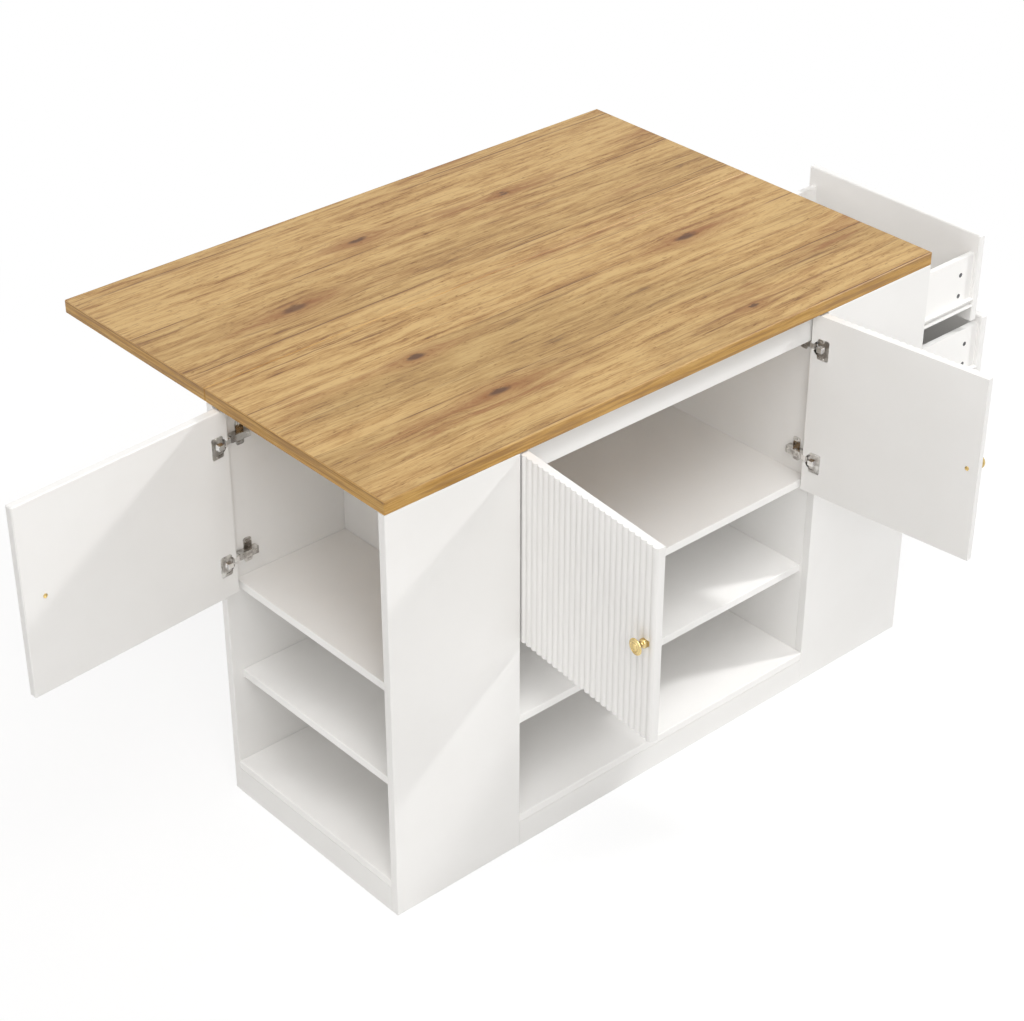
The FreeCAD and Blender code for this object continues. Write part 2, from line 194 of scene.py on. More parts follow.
oak = {
    "pale": (0.565, 0.377, 0.160, 1),
    "golden": (0.450, 0.274, 0.102, 1),
    "brown": (0.315, 0.166, 0.054, 1),
    "dark": (0.140, 0.058, 0.020, 1),
    "russet": (0.245, 0.098, 0.030, 1),
    "olive": (0.335, 0.230, 0.090, 1),
    "endStops": {"dark": 0.04, "pale": 0.86},         # tone at which each colour is reached
    "middleStops": {"brown": 0.27, "golden": 0.53},
    "plainTone": 0.55,
    "plankTone": 0.10,
    # layers of the grain, and how far each moves the tone
    "broad": dict(stretch=(1.5, 6, 6), detail=3.0),
    "flecks": dict(stretch=(11, 46, 46), detail=4.0, roughness=0.66),
    "bands": dict(stretch=(3.4, 64, 64), detail=4.0, roughness=0.62),
    "fibre": dict(stretch=(10, 160, 160), detail=4.0, roughness=0.74),
    "weights": {"broad": 0.6, "flecks": 0.95, "bands": 1.3, "fibre": 1.9},
    "wander": dict(stretch=(1.3, 3.5, 3.5)),
    "wanderReach": 0.022,
    "ripple": dict(stretch=(5, 15, 15)),
    "rippleReach": 0.016,
    "olivePlanks": (0.3, 0.9),
    "oliveRange": (0.38, 0.62),
    "oliveStrengths": (0.35, 0.03),
    "streaks": dict(stretch=(2.4, 88, 88), detail=4.0, roughness=0.64, shift=(1.3, 2.2, 0)),
    "streakRange": (0.585, 0.675),
    "streakBroadRange": (0.38, 0.6),
    "streakStrengths": (0.75, 0.3),
    "lines": dict(stretch=(1.1, 230, 230), shift=(5.7, 1.9, 0)),
    "lineRange": (0.62, 0.70),
    "lineStrength": 0.45,
    "patches": dict(stretch=(1.9, 7.5, 7.5), shift=(7.1, 4.3, 0)),
    "patchRange": (0.50, 0.68),
    "patchStrengths": (0.03, 0.8),
    "flames": dict(stretch=(4.2, 38, 38), detail=5.0, roughness=0.72, shift=(3.1, 0.7, 0)),
    "flameRange": (0.47, 0.66),
    "pores": dict(stretch=(60, 330, 330), detail=1.5),
    "poreRange": (0.60, 0.70),
    "poreBandRange": (0.35, 0.65),
    "poreStrengths": (1.0, 0.3),
    "poreTone": 0.6,
    "poreRoughness": 0.12,
    "poreDepth": -0.7,
    "roughness": 0.38,
    "fibreRoughness": 0.16,
}


def addKnots(tree, vector):
    # distance from the point of the nearest cell, shortened along the grain and made ragged:
    # core and halo fall off with it, and the tail with the distances along and across the grain
    cells = vectorCalc(tree, "MULTIPLY", vector, knots["perMetre"])
    sockets = {"Vector": cells, "Scale": 1.0, "Randomness": knots["randomness"]}
    voronoi = place(tree, "ShaderNodeTexVoronoi", sockets, voronoi_dimensions="2D").outputs
    offset = split(tree, vectorCalc(tree, "SUBTRACT", cells, voronoi["Position"]))
    along = calc(tree, "DIVIDE", offset[0], knots["perMetre"][0])
    aside = calc(tree, "DIVIDE", offset[1], knots["perMetre"][1])
    ragged = offCentre(tree, noise(tree, vector, **knots["ragged"]))
    aside = timesPlus(tree, ragged, knots["raggedAside"], aside)
    drawn = calc(tree, "DIVIDE", along, knots["drawn"])
    away = calc(tree, "SQRT", calc(tree, "ADD", times(tree, drawn, drawn), times(tree, aside, aside)))
    away = timesPlus(tree, ragged, knots["raggedEdge"], away)
    chance = split(tree, voronoi["Color"])
    present = fade(tree, chance[0], *knots["presentRange"])
    reach = calc(tree, "DIVIDE", away, fade(tree, chance[1], 0.0, 1.0, *knots["sizes"]))
    core = times(tree, fadeOut(tree, reach, *knots["coreRange"]), present)
    halo = times(tree, fadeOut(tree, reach, *knots["haloRange"]), present)
    tail = times(tree, fadeOut(tree, calc(tree, "ABSOLUTE", along), 0.0, knots["tailReach"]),
                 fadeOut(tree, calc(tree, "ABSOLUTE", aside), 0.0, knots["tailHalfWidth"]))
    tail = times(tree, tail, fade(tree, chance[2], *knots["tailPresentRange"]))
    bend = times(tree, times(tree, aside, halo), knots["bend"])
    return core, halo, tail, bend


def addSeams(tree, counted, x):
    # distance to the nearest joint of two planks: the seam and its shade fall off with it,
    # and show only where the joint is worn
    part = calc(tree, "FRACT", counted)
    nearest = calc(tree, "MINIMUM", part, calc(tree, "SUBTRACT", 1.0, part))
    edge = times(tree, nearest, planks["width"])
    spot = join(tree, x, calc(tree, "ROUND", counted))
    worn = fade(tree, noise(tree, spot, **planks["worn"]), *planks["wornRange"], 0.0, planks["wornStrength"])
    low, high = planks["seamEdges"]
    seam = fadeOut(tree, edge, planks["seamHalfWidth"] * low, planks["seamHalfWidth"] * high)
    shade = fadeOut(tree, edge, 0.0, planks["shadeReach"], planks["shadeStrength"])
    return times(tree, seam, worn), times(tree, shade, worn)


def addTone(tree, layers, chance):
    # each layer moves the tone about its middle value, and the tone runs through the colours
    tone = timesPlus(tree, chance, oak["plankTone"], oak["plainTone"])
    for name, weight in oak["weights"].items():
        tone = timesPlus(tree, offCentre(tree, layers[name]), weight, tone)
    ramp = place(tree, "ShaderNodeValToRGB", {0: tone})
    stops = ramp.color_ramp.elements
    for stop, (name, position) in zip(stops, oak["endStops"].items()):
        stop.position = position
        stop.color = oak[name]
    for name, position in oak["middleStops"].items():
        stops.new(position).color = oak[name]
    return ramp.outputs[0]


def buildOakGrain():
    tree, given, out = newGroup("oakGrain", [("Vector", "Vector", (0, 0, 0))],
                                [("Color", "Color"), ("Roughness", "Float"), ("Height", "Float")])
    vector = given["Vector"]
    spot = split(tree, vector)
    wander = offCentre(tree, noise(tree, vector, **oak["wander"]))
    ripple = offCentre(tree, noise(tree, vector, **oak["ripple"]))
    across = timesPlus(tree, wander, oak["wanderReach"], spot[1])
    core, halo, tail, bend = addKnots(tree, vector)
    # each plank takes its tone and its place in the grain from its number
    counted = calc(tree, "DIVIDE", calc(tree, "ADD", across, planks["shift"]), planks["width"])
    plank = calc(tree, "FLOOR", counted)
    seeded = calc(tree, "ADD", plank, planks["seed"])
    chance = place(tree, "ShaderNodeTexWhiteNoise", {"W": seeded}, noise_dimensions="1D").outputs["Color"]
    chance = split(tree, chance)
    grain = join(tree, timesPlus(tree, chance[0], planks["slide"], spot[0]),
                 timesPlus(tree, ripple, oak["rippleReach"], calc(tree, "ADD", across, bend)),
                 timesPlus(tree, plank, planks["depthStep"], spot[2]))
    layers = {name: noise(tree, grain, **oak[name]) for name in oak["weights"]}
    colour = addTone(tree, layers, chance[1])
    oliveMask = times(tree, fade(tree, chance[2], *oak["olivePlanks"]),
                      fade(tree, layers["broad"], *oak["oliveRange"], *oak["oliveStrengths"]))
    colour = mixColour(tree, oliveMask, colour, oak["olive"])
    # dark streaks and thin lines, and russet flames that come in patches
    streakMask = times(tree, fade(tree, noise(tree, grain, **oak["streaks"]), *oak["streakRange"]),
                       fade(tree, layers["broad"], *oak["streakBroadRange"], *oak["streakStrengths"]))
    colour = mixColour(tree, streakMask, colour, oak["dark"])
    lineMask = fade(tree, noise(tree, grain, **oak["lines"]), *oak["lineRange"], 0.0, oak["lineStrength"])
    colour = mixColour(tree, lineMask, colour, oak["dark"])
    flames = noise(tree, grain, **oak["flames"])
    patches = fade(tree, noise(tree, vector, **oak["patches"]), *oak["patchRange"], *oak["patchStrengths"])
    flameMask = times(tree, fade(tree, flames, *oak["flameRange"]), patches)
    colour = mixColour(tree, flameMask, colour, oak["russet"])
    # pores: short dark dashes
    poreMask = times(tree, fade(tree, noise(tree, grain, **oak["pores"]), *oak["poreRange"]),
                     fade(tree, layers["bands"], *oak["poreBandRange"], *oak["poreStrengths"]))
    colour = mixColour(tree, times(tree, poreMask, oak["poreTone"]), colour, oak["dark"])
    # knots and seams
    tailMask = times(tree, tail, fade(tree, flames, *knots["tailRange"], *knots["tailStrengths"]))
    colour = mixColour(tree, tailMask, colour, oak["russet"])
    colour = mixColour(tree, times(tree, halo, knots["haloStrength"]), colour, oak["russet"])
    colour = mixColour(tree, times(tree, core, knots["coreStrength"]), colour, knots["colour"])
    seam, shade = addSeams(tree, counted, spot[0])
    colour = mixColour(tree, shade, colour, oak["brown"])
    colour = mixColour(tree, seam, colour, planks["seamColour"])
    roughness = timesPlus(tree, layers["fibre"], oak["fibreRoughness"], oak["roughness"])
    roughness = timesPlus(tree, poreMask, oak["poreRoughness"], roughness)
    height = timesPlus(tree, poreMask, oak["poreDepth"], layers["fibre"])
    height = timesPlus(tree, seam, planks["seamDepth"], height)
    height = timesPlus(tree, core, knots["depth"], height)
    setInputs(tree, out, {"Color": colour, "Roughness": roughness, "Height": height})
    return tree


worktop = {
    "edgeColour": (0.600, 0.315, 0.030, 1),
    "edgeStrength": 0.35,
    "edgeFineness": 2.6,      # grain lines of the edges, against those of the face
    "edgeLines": dict(stretch=(5, 1, 100), detail=4.0, roughness=0.65),
    "edgeLineRange": (0.44, 0.62),
    "edgeLineStrength": 0.9,
    "facingRange": (0.6, 0.8),
    "bandLine": 0.9065,
    "bandLineHalf": 0.0007,
    "bandLineStrength": 0.55,
    "bump": (0.22, 0.0006),   # strength and distance
    "specular": 0.35,
}


def buildOak(grain):
    material, tree, shader, coords = newMaterial("goldenOak")
    spot = split(tree, coords["Object"])
    fine = times(tree, spot[2], worktop["edgeFineness"])
    face = useGroup(tree, grain, {"Vector": join(tree, spot[0], spot[1], fine)})
    # the two short ends carry a band whose grain runs along the edge
    band = useGroup(tree, grain, {"Vector": join(tree, spot[1], calc(tree, "ADD", fine, spot[0]))})
    normal = split(tree, coords["Normal"])
    isEnd = fade(tree, calc(tree, "ABSOLUTE", normal[0]), *worktop["facingRange"])
    isEdge = fadeOut(tree, calc(tree, "ABSOLUTE", normal[2]), *worktop["facingRange"])
    colour = mixColour(tree, isEnd, face["Color"], band["Color"])
    colour = mixColour(tree, times(tree, isEdge, worktop["edgeStrength"]), colour, worktop["edgeColour"])
    # x and y are added, so that these lines run along every edge
    edgeSpot = join(tree, calc(tree, "ADD", spot[0], spot[1]), 0.0, spot[2])
    edgeLines = fade(tree, noise(tree, edgeSpot, **worktop["edgeLines"]), *worktop["edgeLineRange"],
                     0.0, worktop["edgeLineStrength"])
    colour = mixColour(tree, times(tree, isEdge, edgeLines), colour, oak["brown"])
    fromLine = calc(tree, "ABSOLUTE", calc(tree, "SUBTRACT", spot[2], worktop["bandLine"]))
    half = worktop["bandLineHalf"]
    line = fadeOut(tree, fromLine, half, half * 2, worktop["bandLineStrength"])
    colour = mixColour(tree, times(tree, line, isEnd), colour, oak["dark"])
    height = mixValue(tree, isEnd, face["Height"], band["Height"])
    setInputs(tree, shader, {"Base Color": colour, "Roughness": face["Roughness"],
                             "Normal": addBump(tree, *worktop["bump"], height),
                             "Specular IOR Level": worktop["specular"]})
    return material


# Painted board: soft cloudiness between two close whites, and a fine roller texture

paints = {
    "outerWhite": dict(colour=(0.847, 0.840, 0.826, 1), shade=(0.828, 0.820, 0.804, 1),
                       roughness=(0.30, 0.40), clouds=5.0, grain=1100.0, bump=0.06),
    # the boards inside get a lighter white than the outside: painted light that brightens the inside of the
    # cabinet
    "paintedLightInnerWhite": dict(colour=(0.905, 0.897, 0.882, 1), shade=(0.885, 0.876, 0.860, 1),
                       roughness=(0.40, 0.52), clouds=7.0, grain=1500.0, bump=0.08),
    "powderWhite": dict(colour=(0.847, 0.840, 0.826, 1), shade=(0.885, 0.876, 0.860, 1),
                        roughness=(0.34, 0.46), clouds=30.0, grain=2600.0, bump=0.2),
}
roller = {
    "cloudDetail": 4.0,
    "cloudRoughness": 0.55,
    "cloudRange": (0.3, 0.7),
    "cloudHeight": 0.3,
    "fineDetail": 2.0,
    "fineRange": (0.25, 0.75),
    "bumpDistance": 0.0002,
    "specular": 0.4,
}


def buildMottle():
    usual = paints["outerWhite"]
    inputs = [("Vector", "Vector", (0, 0, 0)), ("Clouds", "Float", usual["clouds"]),
              ("Grain", "Float", usual["grain"])]
    tree, given, out = newGroup("softMottle", inputs,
                                [("Mask", "Float"), ("Fine", "Float"), ("Height", "Float")])
    sockets = {"Vector": given["Vector"], "Scale": given["Clouds"], "Detail": roller["cloudDetail"],
               "Roughness": roller["cloudRoughness"]}
    clouds = place(tree, "ShaderNodeTexNoise", sockets).outputs[0]
    sockets = {"Vector": given["Vector"], "Scale": given["Grain"], "Detail": roller["fineDetail"]}
    fine = place(tree, "ShaderNodeTexNoise", sockets).outputs[0]
    setInputs(tree, out, {"Mask": fade(tree, clouds, *roller["cloudRange"]),
                          "Fine": fade(tree, fine, *roller["fineRange"]),
                          "Height": timesPlus(tree, clouds, roller["cloudHeight"], fine)})
    return tree


def buildPaint(name, mottle):
    look = paints[name]
    material, tree, shader, coords = newMaterial(name)
    values = {"Vector": coords["Object"], "Clouds": look["clouds"], "Grain": look["grain"]}
    soft = useGroup(tree, mottle, values)
    setInputs(tree, shader, {"Base Color": mixColour(tree, soft["Mask"], look["colour"], look["shade"]),
                             "Roughness": fade(tree, soft["Fine"], 0.0, 1.0, *look["roughness"]),
                             "Normal": addBump(tree, look["bump"], roller["bumpDistance"], soft["Height"]),
                             "Specular IOR Level": roller["specular"]})
    return material


# Metals: cloudy plate with fine brushing, whose cloudy darker patches are a painted reflection, and painted
# shade where a piece carries a tone

# each metal's duller colour is a painted reflection of dark surroundings, laid on in cloudy patches
metals = {
    "polishedBrass": dict(colour=(0.80, 0.63, 0.30, 1), paintedReflection=(0.66, 0.48, 0.19, 1),
                          paintedShadeColour=(0.20, 0.095, 0.03, 1), roughness=(0.08, 0.18)),
    "brightNickel": dict(colour=(0.78, 0.77, 0.75, 1), paintedReflection=(0.38, 0.36, 0.34, 1),
                         paintedShadeColour=(0.10, 0.095, 0.09, 1), roughness=(0.10, 0.24)),
    "linkSteel": dict(colour=(0.97, 0.965, 0.955, 1), paintedReflection=(0.90, 0.89, 0.88, 1),
                      paintedShadeColour=(0.12, 0.11, 0.105, 1), roughness=(0.16, 0.26)),
    "zincPlate": dict(colour=(0.60, 0.61, 0.62, 1), paintedReflection=(0.48, 0.49, 0.50, 1),
                      paintedShadeColour=(0.2, 0.2, 0.2, 1), roughness=(0.28, 0.42)),
    "darkCam": dict(colour=(0.16, 0.16, 0.165, 1), paintedReflection=(0.10, 0.10, 0.105, 1),
                    paintedShadeColour=(0.03, 0.03, 0.03, 1), roughness=(0.3, 0.45)),
}
brushAndReflection = {
    # the clouds lay out the patches of painted reflection, and also vary the gloss
    "clouds": dict(stretch=(70, 70, 70), detail=3.0),
    "cloudRange": (0.36, 0.64),
    "lines": dict(stretch=(5200, 5200, 240)),
    "cloudShare": 0.5,
    "lineShare": 0.5,
    "glossRange": (0.3, 0.7),
    "bump": (0.04, 0.0001),
}


def buildBrushingAndReflection():
    tree, given, out = newGroup("fineBrushingAndReflection", [("Vector", "Vector", (0, 0, 0))],
                                [("Mask", "Float"), ("Gloss", "Float"), ("Height", "Float")])
    clouds = noise(tree, given["Vector"], **brushAndReflection["clouds"])
    lines = noise(tree, given["Vector"], **brushAndReflection["lines"])
    gloss = timesPlus(tree, clouds, brushAndReflection["cloudShare"], times(tree, lines, brushAndReflection["lineShare"]))
    setInputs(tree, out, {"Mask": fade(tree, clouds, *brushAndReflection["cloudRange"]), "Gloss": gloss, "Height": lines})
    return tree


def buildMetal(name, brushingAndReflection):
    look = metals[name]
    material, tree, shader, coords = newMaterial(name)
    soft = useGroup(tree, brushingAndReflection, {"Vector": coords["Object"]})
    tone = place(tree, "ShaderNodeAttribute", attribute_name="tone").outputs["Fac"]
    # painted reflection: the cloudy mask mixes in the duller colour
    colour = mixColour(tree, soft["Mask"], look["colour"], look["paintedReflection"])
    # painted shade: the tone attribute mixes in each metal's darkest colour
    colour = mixColour(tree, tone, colour, look["paintedShadeColour"])
    roughness = fade(tree, soft["Gloss"], *brushAndReflection["glossRange"], *look["roughness"])
    setInputs(tree, shader, {"Base Color": colour, "Roughness": roughness, "Metallic": 1.0,
                             "Normal": addBump(tree, *brushAndReflection["bump"], soft["Height"])})
    return material


mottle = buildMottle()
brushingAndReflection = buildBrushingAndReflection()
finishes = {name: buildMetal(name, brushingAndReflection) for name in metals}
finishes.update({name: buildPaint(name, mottle) for name in paints})
finishes["goldenOak"] = buildOak(buildOakGrain())
print("materials:", ", ".join(sorted(finishes)))


# Which finish each node carries

outerNodes = ["front_left_panel", "front_right_panel", "back_left_panel", "back_right_panel",
              "left_door_panel", "right_door_panel", "side_door_panel", "top_drawer_front",
              "lower_drawer_front", "front_kickboard", "left_kickboard", "right_kickboard",
              "centre_top_rail"]


def finishOf(name):
    if name in ("fixed_top", "leaf_board"):
        return "goldenOak"
    if name.endswith("_knob"):
        return "polishedBrass"
    if name.endswith(("_hinge_arms", "_cups")):
        return "brightNickel"
    if name.startswith("leaf_hinge"):
        return "zincPlate"
    if name.endswith("_cams"):
        return "darkCam"
    if name.endswith(("_runners", "_channels", "_strut", "_brackets", "_arms")):
        return "powderWhite"
    # boards that are not outer take the lighter white, which is painted light
    return "outerWhite" if name in outerNodes else "paintedLightInnerWhite"


for name, node in nodes.items():
    node.data.materials.clear()
    node.data.materials.append(finishes[finishOf(name)])
print("finishes set on", len(nodes), "nodes")


# Mesh helpers: each shape is three arrays, its points, its quads and the triangles of its end fans

sharpDegrees = 35
pointDigits = 6
sameSpot = 1e-4        # points this close, in metres, count as one place
nearlyUpright = 0.9


def inMetres(millimetres):
    return np.array(millimetres, float) / 1000


def gridFaces(rows, columns):
    # quads between neighbouring rings, the last column joined to the first
    corner = np.arange(rows - 1)[:, None] * columns + np.arange(columns)[None, :]
    beside = np.arange(rows - 1)[:, None] * columns + (np.arange(columns)[None, :] + 1) % columns
    return np.stack([corner, beside, beside + columns, corner + columns], -1).reshape(-1, 4)


def closeRings(rings, start, end):
    # rings of points from the foot up, closed by a fan to one point at each end
    rows, columns, _ = rings.shape
    points = np.concatenate([[start], rings.reshape(-1, 3), [end]])
    ring = np.arange(columns)
    beside = (ring + 1) % columns
    last = 1 + (rows - 1) * columns
    foot = np.stack([0 * ring, beside + 1, ring + 1], -1)
    tip = np.stack([0 * ring + len(points) - 1, ring + last, beside + last], -1)
    return points, gridFaces(rows, columns) + 1, np.concatenate([foot, tip])


def aroundCircle(count):
    # equal angles round a full circle, as one row
    return np.linspace(0, 2 * math.pi, count, endpoint=False)[None, :]


def turned(profile, count):
    # radius and height carried round the z axis: x = r cos(angle), y = r sin(angle), z = height
    angle = aroundCircle(count)
    radius, height = profile[1:-1, 0, None], profile[1:-1, 1, None]
    rings = np.stack([radius * np.cos(angle), radius * np.sin(angle), height + 0 * angle], -1)
    return closeRings(rings, (0, 0, profile[0, 1]), (0, 0, profile[-1, 1]))


def cutCorners(line):
    # every corner gives way to points a quarter and three quarters along its two sides
    quarters = np.stack([0.75 * line[:-1] + 0.25 * line[1:], 0.25 * line[:-1] + 0.75 * line[1:]], 1)
    return np.concatenate([line[:1], quarters.reshape(-1, line.shape[1]), line[-1:]])


def ease(value, low, high):
    # smooth step: three times the squared share of the way from low to high, less twice its cube
    share = np.clip((value - low) / (high - low), 0, 1)
    return share * share * (3 - 2 * share)


def stand(shape, at, axis):
    # the shape's z axis is laid along axis, and its origin goes to at
    points, quads, fans = shape
    axis = np.array(axis, float) / np.linalg.norm(axis)
    helper = np.array((0.0, 0.0, 1.0)) if abs(axis[2]) < nearlyUpright else np.array((1.0, 0.0, 0.0))
    side = np.cross(helper, axis)
    side /= np.linalg.norm(side)
    return points @ np.stack([side, np.cross(axis, side), axis]) + np.array(at), quads, fans


def addPiece(name, shapes, body, finish, replaced=(), tone=None):
    starts = np.cumsum([0] + [len(points) for points, _, _ in shapes])
    points = np.concatenate([shape[0] for shape in shapes])
    quads = np.concatenate([shape[1] + start for shape, start in zip(shapes, starts)])
    fans = np.concatenate([shape[2] + start for shape, start in zip(shapes, starts)])
    mesh = bpy.data.meshes.new(name)
    mesh.from_pydata(points.tolist(), [], quads.tolist() + fans.tolist())
    mesh.polygons.foreach_set("use_smooth", np.ones(len(mesh.polygons), bool))
    mesh.set_sharp_from_angle(angle=math.radians(sharpDegrees))
    mesh.materials.append(finishes[finish])
    # the tone attribute carries painted shade
    if tone is not None:
        mesh.attributes.new("tone", "FLOAT", "POINT").data.foreach_set("value", tone)
    piece = bpy.data.objects.new(name, mesh)
    scene.collection.objects.link(piece)
    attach(piece, body)
    if replaced:
        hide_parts(*replaced)


def nodePoints(name):
    mesh = nodes[name].data
    flat = np.zeros(len(mesh.vertices) * 3)
    mesh.vertices.foreach_get("co", flat)
    return np.unique(flat.reshape(-1, 3).round(pointDigits), axis=0)


def middleOf(values):
    return (values.min() + values.max()) / 2


def upBy(height):
    return np.array((0, 0, height))


# Door pieces are shaped with the door closed, and turned about its hinge to where it stands open

doors = {
    "left_door": dict(joint="left_door_swing", along=(1, 0, 0), inward=(0, 1, 0)),
    "right_door": dict(joint="right_door_swing", along=(-1, 0, 0), inward=(0, 1, 0)),
    "side_door": dict(joint="side_door_swing", along=(0, -1, 0), inward=(1, 0, 0)),
}
drawers = ("top_drawer", "lower_drawer")


def turnDoor(points, door, closing=False):
    # turned about the joint's axis by the angle between the open rest and the closed limit
    joint = joints[doors[door]["joint"]]
    degrees = joint["range_deg"][0] * (1 if closing else -1)
    turn = np.array(Matrix.Rotation(math.radians(degrees), 3, Vector(joint["axis"])))
    pivot = np.array(joint["pos_m"])
    return (points - pivot) @ turn.T + pivot


def openDoor(shape, door):
    points, quads, fans = shape
    return turnDoor(points, door), quads, fans


def doorWays(door):
    # directions along the closed door from its hinge, and into the cabinet
    return np.array(doors[door]["along"], float), np.array(doors[door]["inward"], float)


# Screw heads: domed discs with a cross

screw = {
    "rings": 9,
    "steps": 40,
    "domeDrop": 0.55,
    "crossHalf": 0.13,
    "crossEdges": (0.6, 1.5),
    "crossReach": 0.62,
    "reachEdges": (0.85, 1.1),
    "crossDepth": 0.55,
    "sunk": 0.0004,
}


def screwHead(radius, height):
    # height falls with the square of the radius, less a cross where either side distance is small
    share = np.linspace(0, 1, screw["rings"] + 1)[1:, None]
    angle = aroundCircle(screw["steps"])
    across, up = share * np.cos(angle), share * np.sin(angle)
    near, clear = (screw["crossHalf"] * edge for edge in screw["crossEdges"])
    within, beyond = (screw["crossReach"] * edge for edge in screw["reachEdges"])
    cross = (1 - ease(np.minimum(abs(across), abs(up)), near, clear)) * (1 - ease(share, within, beyond))
    level = height * (1 - screw["domeDrop"] * share ** 2) - height * screw["crossDepth"] * cross
    top = np.stack([radius * across, radius * up, level], -1)
    foot = top[-1:].copy()
    foot[..., 2] = -screw["sunk"]
    return closeRings(np.concatenate([foot, top[::-1]]), (0, 0, -screw["sunk"]),
                      (0, 0, height * (1 - screw["crossDepth"])))


def screwAt(size, at, axis):
    return stand(screwHead(*size), at, axis)


# Knobs: a turned disc with a domed middle and two rings, a waist and a round base,
# and the screw's head on the inner face

knob = {
    "steps": 64,
    # radius and distance behind the tip, in millimetres
    "front": [(0, 0), (3.2, 0.1), (6.2, 0.6), (7.4, 1.2), (8.0, 1.9), (8.7, 1.9), (9.5, 1.2), (11.0, 1.3),
              (11.9, 2.0), (12.5, 2.7), (13.3, 2.7), (14.6, 2.9), (15.7, 3.6), (16.0, 4.4), (16.0, 5.2),
              (15.4, 6.0), (12.2, 6.9), (8.6, 8.0), (6.2, 10.0), (5.0, 12.8), (4.9, 14.4), (5.5, 16.0),
              (7.3, 17.9), (8.6, 19.0), (9.0, 20.2)],
    "baseRadius": 9.0,
    # radius, distance behind the tip, spread and depth of the painted shade at the disc's two rings, the
    # waist and the base
    "paintedShadeRings": [(8.35, 1.9, 0.7, 0.4), (12.9, 2.7, 0.7, 0.25), (5.0, 13.6, 3.4, 0.75),
                (9.0, 21.8, 1.8, 0.7)],
    "screwRadius": 4.5,
    "screwHeight": 2.2,
    "tipDepth": 1e-5,         # points within this of the foremost one, in metres, are the tip
}


def buildKnob(body, outward):
    node = body + "_knob"
    points = nodePoints(node)
    distance = points @ outward
    tip = points[distance > distance.max() - knob["tipDepth"]].mean(0)
    screwRadius, screwHeight = inMetres([knob["screwRadius"], knob["screwHeight"]])
    baseRadius = inMetres(knob["baseRadius"])
    inside = tip - outward * (distance.max() - distance.min() - screwHeight)
    radial = np.linalg.norm(points - tip - np.outer((points - tip) @ outward, outward), axis=1)
    base = distance.max() - distance[abs(radial - baseRadius) < sameSpot].min()
    front = inMetres(cutCorners(np.array(knob["front"], float)))
    profile = np.concatenate([[(0, base), (baseRadius, base)], front[::-1]])
    # the painted shade of each ring falls off as a bell curve of the distance from it
    paintedRingShade = np.zeros(len(profile))
    for *shadeRing, depth in knob["paintedShadeRings"]:
        radius, behind, spread = inMetres(shadeRing)
        apart = np.hypot(profile[:, 0] - radius, profile[:, 1] - behind) / spread
        paintedRingShade = np.maximum(paintedRingShade, depth * np.exp(-apart ** 2))
    profile[:, 1] *= -1
    head = screwHead(screwRadius, screwHeight)
    shapes = [stand(turned(profile, knob["steps"]), tip, outward), stand(head, inside, -outward)]
    rings = np.repeat(paintedRingShade[1:-1], knob["steps"])
    tone = np.concatenate([paintedRingShade[:1], rings, paintedRingShade[-1:], np.zeros(len(head[0]))])
    addPiece(body + "_turned_knob", shapes, body, "polishedBrass", [node], tone)


for door in doors:
    closedOut = -doorWays(door)[1]
    openOut = turnDoor(np.array([closedOut]), door) - turnDoor(np.zeros((1, 3)), door)
    buildKnob(door, openOut[0])
for drawer in drawers:
    buildKnob(drawer, np.array((1.0, 0.0, 0.0)))
print("knobs:", len(doors) + len(drawers))


# Cup hinges: screws and a cover plate in the flange, bright links over plate and neck,
# and screws on arm and wings

hinge = {
    "flangeScrewSpan": 0.0192,
    "flangeScrewShift": 0.0062,
    "flangeScrew": (0.0026, 0.0008),
    "flangeWidth": 0.026,
    "armScrews": (0.030, 0.0585),     # from the front end of the arm
    "armScrew": (0.0036, 0.0010),
    "armFaceDepth": 0.03,             # the arm's face lies further in than this
    "plateScrewSpan": 0.0178,
    "plateScrewAt": 0.0472,
    "plateScrew": (0.0042, 0.0011),
    "plateThickness": 0.002,
    # half sizes along the front, inwards and upwards, and places along the front and inwards
    "cover": dict(half=(0.0116, 0.0010, 0.0158), place=(0.0118, -0.0012), power=0.3),
    "outerLink": dict(half=(0.0070, 0.0033, 0.0060), place=(0.0068, 0.0018), power=0.24),
    "neckLink": dict(half=(0.00365, 0.0066, 0.0064), place=(0.00185, 0.0104), power=0.22),
    "blockRows": 17,
    "blockSteps": 40,
    # painted shade along the rims of the links, where two of their sides meet
    "rimShare": (0.80, 0.98),
    "rimPaintedShade": 0.9,
}


def softBlock(half, power):
    # rounded box: each coordinate is a sine or cosine raised to a small power, so that the corners swell
    rise = np.linspace(-math.pi / 2, math.pi / 2, hinge["blockRows"])[1:-1, None]
    angle = aroundCircle(hinge["blockSteps"])

    def bulge(value):
        return np.sign(value) * abs(value) ** power

    rings = np.stack([half[0] * bulge(np.cos(rise)) * bulge(np.cos(angle)),
                      half[1] * bulge(np.cos(rise)) * bulge(np.sin(angle)),
                      half[2] * bulge(np.sin(rise)) + 0 * angle], -1)
    return closeRings(rings, (0, 0, -half[2]), (0, 0, half[2]))


def hingeBlock(name, along, inward, start):
    # a rounded box set from start, and painted shade that rises where two of its sides meet
    look = hinge[name]
    points, quads, fans = softBlock(look["half"], look["power"])
    second = np.sort(abs(points) / np.array(look["half"]), axis=1)[:, 1]
    tone = hinge["rimPaintedShade"] * ease(second, *hinge["rimShare"])
    at = start + along * look["place"][0] + inward * look["place"][1]
    return (points @ np.stack([along, inward, np.cross(along, inward)]) + at, quads, fans), tone


def halves(points):
    # the upper and the lower of two like things
    middle = middleOf(points[:, 2])
    return points[points[:, 2] > middle], points[points[:, 2] < middle]


